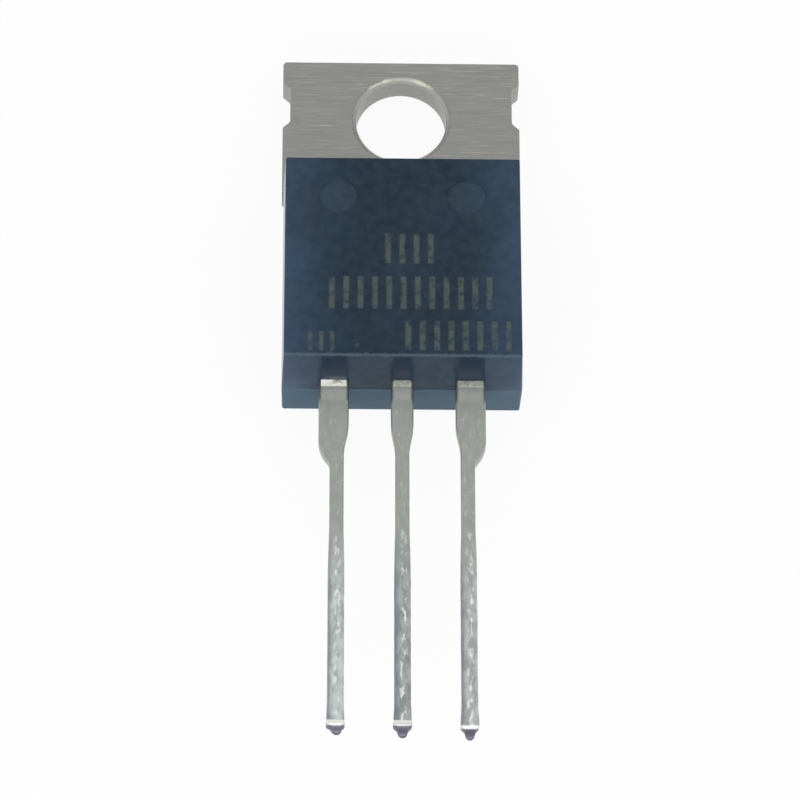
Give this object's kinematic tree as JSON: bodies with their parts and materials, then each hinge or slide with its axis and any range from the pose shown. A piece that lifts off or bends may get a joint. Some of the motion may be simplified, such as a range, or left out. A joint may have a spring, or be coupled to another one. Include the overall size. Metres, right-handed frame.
{
  "type": "power transistor",
  "caption": "Power transistor with a black moulded body, a flat metal mounting tab with a round hole, and straight parallel leads.",
  "frame": {"origin": "axis of the mounting hole, in the plane of the mounting face", "axes": "+Z out of the front face, +Y towards the free end of the tab, with the leads along -Y, and +X towards the emitter lead"},
  "size_m": [0.0096, 0.0301, 0.0043],
  "materials": {
    "moulding_epoxy": "satin black moulding compound",
    "tinned_copper": "fine straight rolling marks under a dull tin plating",
    "solder": "hot-dipped solder, slightly lumpy",
    "silicon": "polished",
    "bond_aluminium": "drawn wire"
  },
  "bodies": {
    "root": {"moulded_body": "moulding_epoxy", "collector_header": "tinned_copper", "base_lead": "tinned_copper", "emitter_lead": "tinned_copper", "silicon_die": "silicon", "die_attach_solder": "solder", "base_bond_wire": "bond_aluminium", "emitter_bond_wire": "bond_aluminium", "base_solder_coat": "solder", "collector_solder_coat": "solder", "emitter_solder_coat": "solder"}
  },
  "joints": []
}
